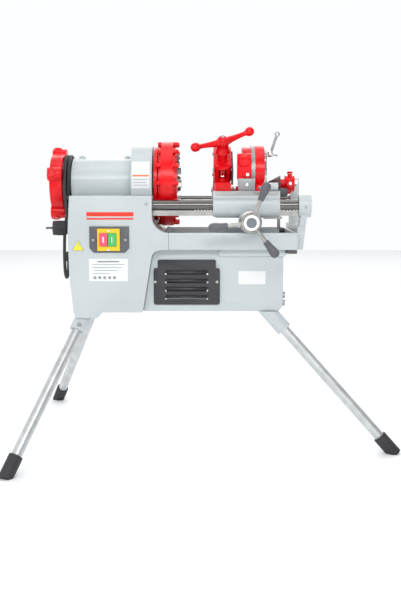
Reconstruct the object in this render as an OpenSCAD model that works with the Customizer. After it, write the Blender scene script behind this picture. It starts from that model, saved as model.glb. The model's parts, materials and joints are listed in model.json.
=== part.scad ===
// Portable pipe threading machine on three legs.
// X runs along the spindle, Y to the back, Z up from the floor.

/* [Spindle] */
// Height of the spindle axis above the floor
axis_z = 667; // [660:1:674]
// Radius of the pipe bore through the spindle
bore_r = 31; // [28:0.5:31]
// Radius of the spindle housing
housing_r = 65; // [62:1:66]
// Radius of the gear case
case_r = 100; // [96:1:101]

/* [Base] */
// Half depth of the cabinet and tray
base_y = 172; // [168:1:176]
// Half depth of the motor box
box_y = 148; // [140:1:150]
// Thickness of the cast walls
wall = 8; // [6:1:9]

/* [Rails] */
// Height of the front rail
rail_z = 612; // [612:1:612]
// Height of the rear rail
rear_rail_z = 620; // [616:1:620]
// Distance of each rail from the spindle plane
rail_y = 125; // [124:1:126]
// Radius of a rail
rail_r = 15; // [14:0.5:16]

/* [Gears] */
// Gear module
gear_m = 2.5; // [2.5:0.1:2.5]
// Teeth of the spindle gear
spindle_teeth = 64; // [64:4:64]
// Teeth of the idler gear
idler_teeth = 60; // [60:4:60]
// Teeth of the motor pinion and of the feed pinion
pinion_teeth = 12; // [12:4:12]

/* [Legs] */
// Radius of a leg tube
leg_r = 13; // [12:0.5:14]
// Radius of a rubber boot
boot_r = 17; // [16:0.5:19]

/* [Cord] */
// Diameter of the power cord
cord_d = 8; // [7:0.5:8]

/* [Hidden] */
$fn = 48;
fit = 0.05;
grey = [0.80, 0.83, 0.84];
dark = [0.25, 0.26, 0.28];
steel = [0.62, 0.63, 0.65];
red = [0.86, 0.06, 0.10];
rubber = [0.12, 0.12, 0.13];
deck_z = 637;
tray_top = 547;
tray_bottom = 505;
base_z = 351;
lobe_z = 337;
idler_z = axis_z - gear_m * (spindle_teeth + idler_teeth) / 2;
motor_z = idler_z - gear_m * (idler_teeth + pinion_teeth) / 2;
pinion_r = gear_m * pinion_teeth / 2;
star_z = 574.4;
star_x = 102.2;
rack_z = star_z + pinion_r;
rail_axes = [[-rail_y, rail_z], [rail_y, rear_rail_z]];
hinge_y = 84;
hinge_z = 650;
hinge_r = 6;
lean = 35;

// Cylinder along X from x0 to x1
module rod_x(x0, x1, r, y = 0, z = 0, n = $fn) {
    translate([x0, y, z]) rotate([0, 90, 0]) cylinder(h = x1 - x0, r = r, $fn = n);
}

// Cylinder along Y from y0 to y1
module rod_y(y0, y1, r, x = 0, z = 0, n = $fn) {
    translate([x, y0, z]) rotate([-90, 0, 0]) cylinder(h = y1 - y0, r = r, $fn = n);
}

// Box given by its two corners
module block(a, b) {
    translate(a) cube(b - a);
}

// Tube along X
module tube_x(x0, x1, r_out, r_in, z = axis_z, y = 0) {
    difference() {
        rod_x(x0, x1, r_out, y, z);
        rod_x(x0 - 1, x1 + 1, r_in, y, z);
    }
}

// Extrudes an outline drawn in X and Z from y0 to y1
module plate_y(y0, y1) {
    translate([0, y1, 0]) rotate([90, 0, 0]) linear_extrude(y1 - y0) children();
}

// Extrudes an outline drawn in Y and Z from x0 to x1
module plate_x(x0, x1) {
    translate([x0, 0, 0]) rotate([90, 0, 90]) linear_extrude(x1 - x0) children();
}

// Straight round bar between two points
module bar(p, q, r, r2 = -1, spin = 37) {
    d = q - p;
    length = norm(d);
    tilt = acos(d[2] / length);
    turn = atan2(d[1], d[0]);
    translate(p) rotate([0, tilt, turn]) rotate(spin) cylinder(h = length, r1 = r, r2 = r2 < 0 ? r : r2);
}

function arc(c, r, a0, a1, n) = [for (i = [0:n]) c + r * [cos(a0 + (a1 - a0) * i / n), sin(a0 + (a1 - a0) * i / n)]];

// One tooth of a gear in polar steps, centred on angle a
function tooth(a, teeth, rp) = let (p = 360 / teeth)
    [for (k = [[-0.30, -1.2], [-0.11, 0.92], [0.11, 0.92], [0.30, -1.2]])
        (rp + k[1] * gear_m) * [cos(a + k[0] * p), sin(a + k[0] * p)]];

function gear_outline(teeth) =
    [for (i = [0:teeth - 1]) each tooth(i * 360 / teeth, teeth, gear_m * teeth / 2)];

// Spur gear along X with a bore
module gear_x(teeth, x0, x1, z, turn, bore) {
    translate([0, 0, z]) difference() {
        plate_x(x0, x1) rotate(turn) polygon(gear_outline(teeth));
        if (bore > 0) rod_x(x0 - 1, x1 + 1, bore);
    }
}

cabinet_outline = concat(
    [[-337, 637], [-342, 553], [-340, 442], [-331, 350]],
    arc([-317, 351], 14, 180, 270, 5),
    [[-272, 337], [-259, 351], [-161, 351]],
    arc([-115, 481], 24, 170, 90, 5),
    [[-97, 505], [-97, 547]],
    arc([-97, 587], 40, 270, 180, 6),
    [[-137, 637]]);
cabinet_inner = [[-329, 629], [-334, 553], [-332, 442], [-323, 359], [-169, 359],
    [-147, 490], [-147, 629]];

module cabinet() {
    color(grey) difference() {
        plate_y(-base_y, base_y) polygon(cabinet_outline);
        plate_y(-base_y + wall, base_y - wall) polygon(cabinet_inner);
        // channel above the tray floor, between the front and rear cheeks
        block([-125, -base_y + wall, 513], [-90, base_y - wall, 549]);
        // recess behind the front and rear cheeks
        block([-135, -box_y, 340], [-90, box_y, 506]);
        // seats of the spindle housing and window of the gear train
        rod_x(-350, -186, housing_r + fit, 0, axis_z);
        block([-187, -92, 620], [-146, 92, 640]);
        rod_x(-150, -130, 41, 0, axis_z);
        // room for the front chuck
        rod_x(-136.5, -90, 112, 0, axis_z, 96);
        // rail sockets and motor shaft
        for (p = rail_axes) rod_x(-165, -130, rail_r + fit, p[0], p[1]);
        rod_x(-190, -130, 25, 0, motor_z);
        block([-310, base_y - wall - 1, 385], [-175, base_y + 1, 600]);
    }
}

module rear_cover() {
    color(dark) difference() {
        block([-318, base_y, 377], [-167, base_y + 3, 608]);
        for (i = [0:5]) block([-290, base_y - 1, 410 + 16 * i], [-195, base_y + 4, 415 + 16 * i]);
    }
    color(steel) for (x = [-311, -174], z = [384, 601]) rod_y(base_y + 3, base_y + 6, 4, x, z, 24);
}

module tray() {
    color(grey) difference() {
        block([-97, -base_y, tray_bottom], [221, base_y, tray_top]);
        block([-98, -base_y + wall, 513], [221 - wall, base_y - wall, 560]);
    }
}

// Upright wall with a low middle, a front rail boss and a tall rear hump
module end_support() {
    color(grey) difference() {
        union() {
            plate_y(-150, 153) polygon([[221, 505], [235, 505], [241, 560], [221, 560]]);
            plate_y(-142, -108) polygon([[224, 555], [240, 555], [246, 590], [246, 612], [230, 612], [230, 590]]);
            rod_x(224.6, 255, 28.7, -rail_y, rail_z);
            block([228, 97, 558], [250, 153, 657]);
            rod_x(228, 250, 28, rail_y, 657);
        }
        rod_y(-rail_y - 32, -rail_y - 26, 3 + fit, 240, 608, 24);
        for (p = rail_axes) rod_x(220, 248, rail_r + fit, p[0], p[1]);
    }
}

box_outline = concat([[-161, 351], [176, 351], [187, 363], [187, 505]],
    arc([-115, 481], 24, 90, 170, 5));

module motor_box() {
    color(grey) difference() {
        union() {
            plate_y(-box_y, box_y) polygon(box_outline);
            block([27, -box_y - 7, 488], [193, box_y, 505]);
        }
        block([-170, -box_y + 6, 357], [181, box_y - 6, 499]);
        block([-115, -box_y - 1, 385], [11, -box_y + 7, 462]);
    }
}

module spindle_housing() {
    color(grey) difference() {
        union() {
            rod_x(-347, -193, housing_r, 0, axis_z);
            rod_x(-366.5, -346, 57, 0, axis_z);
        }
        rod_x(-367, -192, 52, 0, axis_z);
    }
}

module gear_case() {
    color(grey) difference() {
        rod_x(-193, -140, case_r, 0, axis_z, 96);
        rod_x(-187, -146, case_r - 8, 0, axis_z, 96);
        rod_x(-194, -186, 52, 0, axis_z);
        rod_x(-147, -139, 41, 0, axis_z);
        block([-200, -120, 500], [-130, 120, deck_z]);
    }
}

module bearings() {
    color(steel) {
        tube_x(-364, -344, 52, 38 + fit);
        tube_x(-214, -194, 52, 38 + fit);
    }
}

module oilers() {
    color(grey) difference() {
        for (x = [-325, -208]) {
            translate([x, 0, axis_z + housing_r - 1]) cylinder(h = 5, r = 8);
            translate([x, 0, axis_z + housing_r + 4]) sphere(r = 4, $fn = 24);
        }
        rod_x(-347, -193, housing_r, 0, axis_z);
    }
}

module rails() {
    color(steel) for (p = rail_axes) rod_x(-160, 248, rail_r, p[0], p[1]);
}

rack_pitch = PI * gear_m;

module rack() {
    color(steel) difference() {
        union() {
            block([-136, -rail_y - 8, rack_z + 3], [224, -rail_y + 8, rack_z + 11]);
            // thin apron that hides the teeth from the front
            block([-136, -rail_y - 9.9, rack_z + 4], [224, -rail_y - 7, rack_z + 13]);
            block([-136, -rail_y - 9.9, rack_z - 1.5], [224, -rail_y - 9.1, rack_z + 13]);
            for (i = [-29:14]) translate([star_x + (i + 0.5) * rack_pitch, 0, rack_z])
                plate_y(-rail_y - 8, -rail_y + 8)
                    polygon([[-2.4, 3.1], [-0.9, -2.2], [0.9, -2.2], [2.4, 3.1]]);
        }
        rod_x(-140, 230, rail_r + 0.02, -rail_y, rail_z);
    }
}

// Screws of the rails, switch plate and louvre cover, and the two drain plugs
module fasteners() {
    color(dark) {
        rod_y(-base_y - 1, -base_y, 4, -149.7, 617, 24);
        rod_y(-rail_y - 30.2, -rail_y - 26, 3, 240, 608, 24);
        for (z = [364, 384]) rod_x(187, 198, 8, -80, z, 24);
    }
    color(steel) {
        for (x = [-280, -201]) rod_y(-base_y - 5, -base_y - 3, 3.4, x, 530, 24);
        for (x = [-130, 23]) rod_y(-box_y - 6, -box_y - 4, 3.4, x, 425, 24);
    }
}

module louvre_cover() {
    color(rubber) difference() {
        plate_y(-box_y - 4, -box_y) polygon([[-134, 372], [-130, 368], [26, 368], [30, 372],
            [30, 456], [27, 459], [20, 459], [20, 477], [17, 480], [-121, 480], [-124, 477],
            [-124, 459], [-131, 459], [-134, 456]]);
        for (i = [0:3]) block([-104, -box_y - 5, 381 + 20.7 * i], [-1, -box_y + 1, 386 + 20.7 * i]);
    }
}

// Two windows for the push buttons
module button_windows() {
    for (x = [-264, -243]) block([x - 0.4, -200, 514.6], [x + 20.4, -150, 547.4]);
}

module switch_plate() {
    color(dark) difference() {
        plate_y(-base_y - 3, -base_y) polygon([[-289, 563], [-289, 510], [-279, 499],
            [-202, 499], [-192, 510], [-192, 563]]);
        button_windows();
    }
}

module switch_face() {
    color("gold") difference() {
        block([-269, -base_y - 9, 504], [-214.5, -base_y - 3, 557.5]);
        button_windows();
    }
}

// Push button that slides in the switch face
module button(x) {
    block([x, -base_y - 13, 515], [x + 20, -base_y - 4, 547]);
}

module off_button() {
    color([0.93, 0.35, 0.45]) button(-264);
}

module on_button() {
    color([0.30, 0.75, 0.35]) button(-243);
}

module motor_stator() {
    color(dark) difference() {
        rod_x(-125, 70, 62, 0, motor_z);
        rod_x(-117, 62, 50, 0, motor_z);
        rod_x(-130, 80, 9 + fit, 0, motor_z);
    }
}

module oil_pump() {
    color(steel) {
        rod_x(100, 150, 30, 60, 387);
        rod_x(150, 160, 12, 60, 387);
    }
    // ribbed return hose in the tray
    color(rubber) {
        rod_x(198, 212, 6, 100, 540, 24);
        for (i = [0:3]) rod_x(198 + 3.6 * i, 200 + 3.6 * i, 8, 100, 540, 24);
    }
}

gland_x = -356;
gland_y = -70;
gland_z = 470;

module cord_gland() {
    color(rubber) difference() {
        union() {
            rod_x(gland_x, -340.8, 9, gland_y, gland_z + 16, 24);
            translate([gland_x, gland_y, gland_z]) cylinder(h = 16, r = 8);
            translate([gland_x, gland_y, gland_z + 16]) sphere(r = 9);
        }
        plate_y(-200, 200) polygon(cabinet_outline);
    }
}

// Foot centre and upper end of each leg's axis
legs = [[[-459.3, -382.3, 8], [-312.6, -148, 330]],
    [[-459.3, 382.3, 8], [-312.6, 148, 330]],
    [[458.08, -191, 8], [169.5, -140, 330]]];

function unit(v) = v / norm(v);

module leg_tubes() {
    color(steel) for (i = [0:2]) intersection() {
        bar(legs[i][0] + 12 * unit(legs[i][1] - legs[i][0]),
            legs[i][1] + 40 * unit(legs[i][1] - legs[i][0]), leg_r);
        block([-600, -600, 0], [600, 600, i == 2 ? base_z : lobe_z]);
    }
}

module leg_sockets() {
    color(grey) for (i = [0:2]) difference() {
        bar(legs[i][1] - 34 * unit(legs[i][1] - legs[i][0]),
            legs[i][1] + 60 * unit(legs[i][1] - legs[i][0]), 20);
        bar(legs[i][1] - 60 * unit(legs[i][1] - legs[i][0]),
            legs[i][1] + 90 * unit(legs[i][1] - legs[i][0]), leg_r + fit);
        block([-600, -600, i == 2 ? base_z : lobe_z], [600, 600, 460]);
    }
}

module boot(i) {
    u = unit(legs[i][1] - legs[i][0]);
    color(rubber) difference() {
        bar(legs[i][0] - 14 * u, legs[i][0] + 46 * u, boot_r);
        bar(legs[i][0] + 12 * u, legs[i][0] + 80 * u, leg_r);
        block([-600, -600, -60], [600, 600, 0]);
    }
}

module boot_front_left() boot(0);
module boot_rear_left() boot(1);
module boot_right() boot(2);

coil_r = [57.5, 76];
coil_x = [-366, -348.5];

module cord_coil() {
    color(rubber) tube_x(coil_x[0], coil_x[1], coil_r[1], coil_r[0]);
}

// Route of the cord from the gland up to the coil, and from the coil to the plug
lead_route = [[-356, -70, 470], [-356, -70, 462], [-356, -74, 447], [-356, -86, 435],
    [-356, -102, 430], [-356, -118, 435], [-356, -130, 447], [-356, -134, 465],
    [-356.5, -133, 490], [-357, -127, 515], [-358, -114, 540], [-359, -95, 561],
    [-360, -71, 577], [-361, -45, 585], [-361.5, -18, 587]];
plug_route = [[-353, -100, 580], [-353, -100, 590], [-354, -99, 605], [-357, -95, 621],
    [-360, -89, 637], [-361.5, -82, 652]];

// Round cord swept along a route that keeps nearly to one X
module sweep(route, r) {
    n = len(route);
    k = 8;
    points = [for (i = [0:n - 1]) let (
        t = unit(route[min(i + 1, n - 1)] - route[max(i - 1, 0)]),
        side = unit(cross(t, [1, 0, 0])),
        other = cross(side, t))
        for (j = [0:k - 1]) route[i] + r * (cos(j * 360 / k) * side + sin(j * 360 / k) * other)];
    sides = [for (i = [0:n - 2], j = [0:k - 1])
        [i * k + j, (i + 1) * k + j, (i + 1) * k + (j + 1) % k, i * k + (j + 1) % k]];
    ends = [[for (j = [0:k - 1]) j], [for (j = [k - 1:-1:0]) (n - 1) * k + j]];
    polyhedron(points, concat(sides, ends));
}

module cord_lead() {
    color(rubber) {
        sweep(lead_route, cord_d / 2);
        sweep(plug_route, cord_d / 2);
    }
}

module plug() {
    color(rubber) {
        rod_x(-388, -362, 18, -100, 556);
        rod_x(-362, -347, 12, -100, 556);
        translate([-353, -100, 556]) cylinder(h = 24, r = 6);
    }
    color(steel) for (y = [-109.5, -90.5]) rod_x(-405, -388, 2.4, y, 556, 16);
}

module spindle_tube() {
    color(steel) tube_x(-378, -106, 38, bore_r);
}

module spindle_gear() {
    color(steel) gear_x(spindle_teeth, -185, -165, axis_z, 0, 38);
}

module idler_gear() {
    color(steel) gear_x(idler_teeth, -185, -165, idler_z, 3, 10 + fit);
}

module motor_rotor() {
    color(steel) {
        gear_x(pinion_teeth, -186, -164, motor_z, 0, 0);
        rod_x(-188, 75, 9, 0, motor_z);
        rod_x(-105, 50, 48, 0, motor_z);
    }
}

// Three or more copies turned about the spindle axis
module around(angle) {
    translate([0, 0, axis_z]) rotate([angle, 0, 0]) children();
}

jaw_turn = [30, 150, 270];

module front_chuck_body() {
    color(red) difference() {
        union() {
            rod_x(-135.5, -127.5, 95, 0, axis_z);
            rod_x(-128, -78, 80, 0, axis_z);
        }
        rod_x(-136, -105, 38, 0, axis_z);
        rod_x(-106, -77, 34, 0, axis_z);
        for (a = jaw_turn) around(a) block([-104, -11.2, 0], [-77, 11.2, 75]);
    }
}

module front_jaw(i) {
    color("gainsboro") around(jaw_turn[i]) difference() {
        block([-103.7, -11, 33.5], [-68, 11, 54]);
        rod_x(-110, -60, 33.5);
    }
}

module front_jaw_1() front_jaw(0);
module front_jaw_2() front_jaw(1);
module front_jaw_3() front_jaw(2);

bolt_count = 14;

module hammer_wheel() {
    color(red) difference() {
        union() {
            rod_x(-118, -88, 109, 0, axis_z, 96);
            rod_x(-124, -82, 98, 0, axis_z, 96);
            for (i = [0:bolt_count - 1]) around(360 / bolt_count * (i + 0.5)) {
                rod_x(-126.5, -118, 6, 0, 102, 24);
                rod_x(-88, -77, 6, 0, 102, 24);
            }
        }
        rod_x(-125, -81, 80.3, 0, axis_z);
    }
}

module rear_chuck_body() {
    color(red) difference() {
        rod_x(-400, -370, 50, 0, axis_z);
        rod_x(-378.5, -369, 38, 0, axis_z);
        rod_x(-401, -378, 34, 0, axis_z);
        for (a = jaw_turn) around(a) block([-397, -7.2, 0], [-379.3, 7.2, 49]);
    }
}

module rear_jaw(i) {
    color("gainsboro") around(jaw_turn[i]) difference() {
        block([-396.8, -7, 33.5], [-379.5, 7, 47]);
        rod_x(-400, -370, 33.5);
    }
}

module rear_jaw_1() rear_jaw(0);
module rear_jaw_2() rear_jaw(1);
module rear_jaw_3() rear_jaw(2);

module rear_wheel() {
    color(red) difference() {
        union() {
            rod_x(-398, -370, 74, 0, axis_z);
            for (i = [0:3]) around(90 * i - 18) {
                rod_x(-404, -368.5, 17, 0, 76);
                block([-400, -15, 60], [-374, 15, 78]);
            }
        }
        rod_x(-410, -360, 50.3, 0, axis_z);
        // drilled bosses for a tommy bar
        for (i = [0:3]) around(90 * i - 18) translate([-392, 0, 78]) cylinder(h = 20, r = 7);
    }
}

ear_x = [[13, 18], [66, 72], [142, 145], [170, 177]];

module carriage() {
    color(grey) difference() {
        union() {
            rod_x(13, 177, 28.7, -rail_y, rail_z);
            rod_x(13, 177, 24, rail_y, rear_rail_z);
            block([20, -112, 582], [170, 112, 600]);
            block([20, 98, 590], [170, 112, 615]);
            block([13, -150, 630], [177, -80, 648]);
            rod_y(-196, -140, 27, star_x, star_z);
            for (e = ear_x) {
                block([e[0], 73, 590], [e[1], 95, hinge_z]);
                rod_x(e[0], e[1], 11, hinge_y, hinge_z);
            }
        }
        for (p = rail_axes) rod_x(10, 180, rail_r + fit, p[0], p[1]);
        for (e = ear_x) rod_x(e[0] - 1, e[1] + 1, hinge_r + 0.02, hinge_y, hinge_z);
        block([10, -rail_y - 10, 570], [180, -rail_y + 10, 602]);
        rod_y(-200, -105, 9 + fit, star_x, star_z);
        rod_y(-137, -110, 19, star_x, star_z);
    }
}

module carriage_fittings() {
    color(steel) {
        rod_x(11, 224, hinge_r, hinge_y, hinge_z);
        rod_x(147, 175, 10.5, -108, 658.4);
        for (x = [37, 150]) rod_y(-154.5, -152.5, 3.5, x, 643, 24);
        translate([187, 0, 548]) cylinder(h = 28, r = 4);
    }
    color(dark) {
        block([20, -152.5, 639], [172, -150, 647]);
        block([147, -30, 576], [193, 30, 582]);
    }
}

spoke_turn = [67.7, 187.7, 307.7];
star_y = -236;

// Point of the star wheel at a radius and an angle
function star_point(r, a) = [star_x + r * cos(a), star_y, star_z + r * sin(a)];

module star_wheel() {
    color(steel) {
        rod_y(-246, -115, 9, star_x, star_z);
        rod_y(-250, -214, 18, star_x, star_z);
        translate([star_x, 0, star_z]) plate_y(-134, -116) polygon(gear_outline(pinion_teeth));
        for (a = spoke_turn) bar(star_point(14, a), star_point(60, a), 4.7);
    }
}

module star_grips() {
    color(dark) for (a = spoke_turn) {
        bar(star_point(60, a), star_point(90, a), 7, 11.5);
        intersection() {
            translate(star_point(89, a)) sphere(r = 11.5);
            bar(star_point(90, a), star_point(104, a), 13);
        }
    }
}

// Frame of the cutter: tilted towards the front, feed screw along its Z
module lean_over() {
    translate([0, 0, axis_z]) rotate([lean, 0, 0]) children();
}

cut_x = 38;

module cutter_frame() {
    color(red) difference() {
        union() {
            lean_over() {
                block([15.5, -28, 30.5], [60.5, 50, 80]);
                translate([cut_x, -28, 30.5]) cylinder(h = 49.5, r = 22);
                translate([cut_x, 0, 79]) cylinder(h = 15, r = 13);
                block([15.5, 34, -40], [60.5, 50, 32]);
                difference() {
                    block([15.5, -23, -52], [60.5, 50, -34]);
                    block([22, -24, -49.5], [54, 28, -30]);
                }
                for (u = [-11, 13]) rod_x(16, 60, 3, u, -40);
            }
            block([18, -120, 648.3], [58, -52, 669]);
            rod_x(20, 60, 11, hinge_y, hinge_z);
            block([20, 50, 643], [60, 84, 657]);
        }
        rod_x(19, 64, hinge_r + fit, hinge_y, hinge_z);
        lean_over() {
            block([24, -18, 20], [52, 18, 74]);
            translate([cut_x, 0, 70]) cylinder(h = 30, r = 8 + fit);
            block([28, -60, 42], [48, -10, 74]);
        }
    }
}

module cutter_roller(u) {
    color("gainsboro") lean_over() difference() {
        rod_x(22.6, 53.4, 9, u, -40);
        rod_x(20, 56, 3 + fit, u, -40);
    }
}

module cutter_roller_1() cutter_roller(-11);
module cutter_roller_2() cutter_roller(13);

wheel_v = 43;

// Slide in the frame with a fork for the cutting wheel
module cutter_slide() {
    color(steel) lean_over() difference() {
        union() {
            block([24.3, -17.7, 38], [51.7, 17.7, 62]);
            rod_x(30, 46, 3, 0, wheel_v);
        }
        difference() {
            block([34, -20, 30], [42, 20, 58]);
            rod_x(30, 46, 3, 0, wheel_v);
        }
    }
}

module cutter_wheel() {
    color("gainsboro") lean_over() difference() {
        union() {
            rod_x(35, 41, 6, 0, wheel_v);
            translate([36, 0, wheel_v]) rotate([0, 90, 0]) cylinder(h = 2, r1 = 9, r2 = 12.5);
            translate([38, 0, wheel_v]) rotate([0, 90, 0]) cylinder(h = 2, r1 = 12.5, r2 = 9);
        }
        rod_x(30, 46, 3 + fit, 0, wheel_v);
    }
}

hub_v = 125;
arm_turn = 28;
arm_rise = 7;

module cutter_handle() {
    color(red) lean_over() translate([cut_x, 0, 0]) {
        translate([0, 0, 62]) cylinder(h = hub_v - 62, r = 8);
        // skirt that comes down over the collar
        difference() {
            translate([0, 0, 96]) cylinder(h = 22, r1 = 18.5, r2 = 14.5);
            translate([0, 0, 90]) cylinder(h = 21, r = 13.6);
        }
        translate([0, 0, hub_v]) sphere(r = 15);
        for (side = [0, 180]) translate([0, 0, hub_v]) rotate([0, 0, arm_turn + side]) {
            rotate([0, 90 - arm_rise, 0]) cylinder(h = 72, r1 = 8, r2 = 5);
            rotate([0, 90 - arm_rise, 0]) translate([0, 0, 78]) sphere(r = 12);
        }
    }
}

die_turn = [45, 135, 225, 315];

module die_head() {
    color(red) difference() {
        union() {
            rod_x(121, 145, 62, 0, axis_z);
            rod_x(121, 145, 70, 0, axis_z + 28);
            rod_x(111, 121, 62, 0, axis_z);
            rod_x(111, 121, 69, 0, axis_z + 28);
            rod_x(89, 111, 62, 0, axis_z);
            rod_x(89, 111, 66, 0, axis_z + 28);
            rod_x(75, 110, 18, -61, axis_z + 58);
            block([75, -79, 678], [110, -43, axis_z + 58]);
            block([77, -95, 648.3], [118, -50, 678]);
            block([121, -95, 648.3], [140, -50, 664]);
            rod_x(77, 140, 11, hinge_y, hinge_z);
            block([100, 50, 642], [140, 84, 658]);
        }
        rod_x(88, 146, 34, 0, axis_z);
        rod_x(70, 146, hinge_r + fit, hinge_y, hinge_z);
        for (a = die_turn) around(a) block([96.8, -7.2, 0], [109.2, 7.2, 57]);
    }
}

module die(i) {
    color(steel) around(die_turn[i]) difference() {
        block([97, -7, 25], [109, 7, 50]);
        for (x = [98:3:110]) translate([x, 0, 25]) rotate([0, 45, 0]) cube([1.4, 20, 1.4], center = true);
    }
}

module die_1() die(0);
module die_2() die(1);
module die_3() die(2);
module die_4() die(3);

module die_cam() {
    color(steel) {
        difference() {
            union() {
                rod_x(145.5, 151.5, 58, 0, axis_z);
                around(28) block([145.5, -9, 40], [151.5, 9, 92]);
            }
            rod_x(145, 152, 36, 0, axis_z);
        }
        around(28) {
            rod_x(151, 158, 6, 0, 85, 24);
            translate([160, 0, 85]) sphere(r = 7.5);
            rod_x(160, 173, 4, 0, 85, 24);
        }
        bar([162, -40, 744], [176, -40, 788], 3.4, 3.4);
        translate([177.5, -40, 792]) rotate([90, 0, 0]) rotate_extrude() translate([5, 0]) circle(r = 1.8);
    }
}

module reamer() {
    color(red) difference() {
        union() {
            rod_x(201, 226, 20, 0, axis_z);
            rod_x(190, 212, 12, 0, axis_z);
            translate([214, -8, 680]) cylinder(h = 12, r = 6);
            rod_x(203, 221, 11, hinge_y, hinge_z);
            block([203, 12, 642], [221, 84, 658]);
        }
        rod_x(202, 222, hinge_r + fit, hinge_y, hinge_z);
        rod_x(189, 230, 8, 0, axis_z);
    }
}

module reamer_cone() {
    color(dark) difference() {
        union() {
            translate([152, 0, axis_z]) rotate([0, 90, 0]) cylinder(h = 37, r1 = 1, r2 = 24);
            rod_x(189, 228, 8, 0, axis_z);
        }
        for (a = [0:60:359]) around(a) translate([150, 0, 2]) rotate([0, -31.8, 0]) block([0, -0.6, 0], [41, 5, 6]);
    }
}

cabinet();
tray();
end_support();
motor_box();
rear_cover();
spindle_housing();
gear_case();
bearings();
oilers();
rails();
rack();
fasteners();
louvre_cover();
switch_plate();
switch_face();
motor_stator();
oil_pump();
cord_gland();
leg_sockets();
leg_tubes();
boot_front_left();
boot_rear_left();
boot_right();
cord_coil();
cord_lead();
plug();
on_button();
off_button();
spindle_tube();
spindle_gear();
front_chuck_body();
rear_chuck_body();
hammer_wheel();
front_jaw_1();
front_jaw_2();
front_jaw_3();
rear_wheel();
rear_jaw_1();
rear_jaw_2();
rear_jaw_3();
idler_gear();
motor_rotor();
carriage();
carriage_fittings();
star_wheel();
star_grips();
cutter_frame();
cutter_roller_1();
cutter_roller_2();
cutter_slide();
cutter_wheel();
cutter_handle();
die_head();
die_cam();
die_1();
die_2();
die_3();
die_4();
reamer();
reamer_cone();
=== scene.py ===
import json
import math

import bmesh
import bpy
from mathutils import Matrix, Vector


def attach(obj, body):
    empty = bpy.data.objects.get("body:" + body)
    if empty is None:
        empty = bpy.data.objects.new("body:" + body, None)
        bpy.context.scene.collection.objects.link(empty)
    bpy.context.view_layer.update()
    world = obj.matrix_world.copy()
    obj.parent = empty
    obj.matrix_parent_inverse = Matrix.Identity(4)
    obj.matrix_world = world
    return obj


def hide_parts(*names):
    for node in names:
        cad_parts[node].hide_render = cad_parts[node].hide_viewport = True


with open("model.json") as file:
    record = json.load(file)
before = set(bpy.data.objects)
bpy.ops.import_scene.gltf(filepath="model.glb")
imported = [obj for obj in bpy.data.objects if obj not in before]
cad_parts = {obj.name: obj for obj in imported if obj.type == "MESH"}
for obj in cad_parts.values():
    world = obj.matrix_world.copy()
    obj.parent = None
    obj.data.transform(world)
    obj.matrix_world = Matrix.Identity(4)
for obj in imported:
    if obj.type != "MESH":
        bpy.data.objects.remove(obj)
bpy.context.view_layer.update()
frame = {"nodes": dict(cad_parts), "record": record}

MM = 0.001
SHARP = math.radians(32)        # edges steeper than this are shaded as sharp
AXIS_MM = 667.0                 # height of the spindle
AXIS_Z = AXIS_MM * MM
RIGHT, LEFT, FORWARD, UP = (1, 0, 0), (-1, 0, 0), (0, -1, 0), (0, 0, 1)


# ---------------------------------------------------------------- camera
CAMERA_LENS = 54.07
CAMERA_SENSOR = 36.0
CAMERA_SPOT = (-0.018, -2.3766, 0.6599)
CAMERA_DIP = 7.208              # degrees below the horizontal


def make_camera():
    """Stands in front of the machine, a little above the tray, and looks slightly down."""
    data = bpy.data.cameras.new("camera")
    data.lens = CAMERA_LENS
    data.sensor_width = CAMERA_SENSOR
    camera = bpy.data.objects.new("camera", data)
    camera.location = CAMERA_SPOT
    camera.rotation_euler = (math.radians(90 - CAMERA_DIP), 0, 0)
    bpy.context.scene.collection.objects.link(camera)
    bpy.context.scene.camera = camera


make_camera()


# ---------------------------------------------------------------- materials
def new_nodes(name):
    """New material with its node tree and its shader."""
    material = bpy.data.materials.new(name)
    material.use_nodes = True
    tree = material.node_tree
    return material, tree, tree.nodes["Principled BSDF"]


def noise_at(tree, scale, detail=3.0, stretch=(1, 1, 1)):
    """Noise that is fixed to the object's own coordinates."""
    place = tree.nodes.new("ShaderNodeTexCoord")
    mapping = tree.nodes.new("ShaderNodeMapping")
    mapping.inputs["Scale"].default_value = stretch
    noise = tree.nodes.new("ShaderNodeTexNoise")
    noise.inputs["Scale"].default_value = scale
    noise.inputs["Detail"].default_value = detail
    tree.links.new(place.outputs["Object"], mapping.inputs["Vector"])
    tree.links.new(mapping.outputs["Vector"], noise.inputs["Vector"])
    return noise


def ramp(tree, source, low, high, start=0.3, end=0.7):
    """Colour that goes from low to high with the source's value."""
    node = tree.nodes.new("ShaderNodeValToRGB")
    node.color_ramp.elements[0].position = start
    node.color_ramp.elements[0].color = (*low, 1)
    node.color_ramp.elements[1].position = end
    node.color_ramp.elements[1].color = (*high, 1)
    tree.links.new(source.outputs["Fac"], node.inputs["Fac"])
    return node


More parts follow.
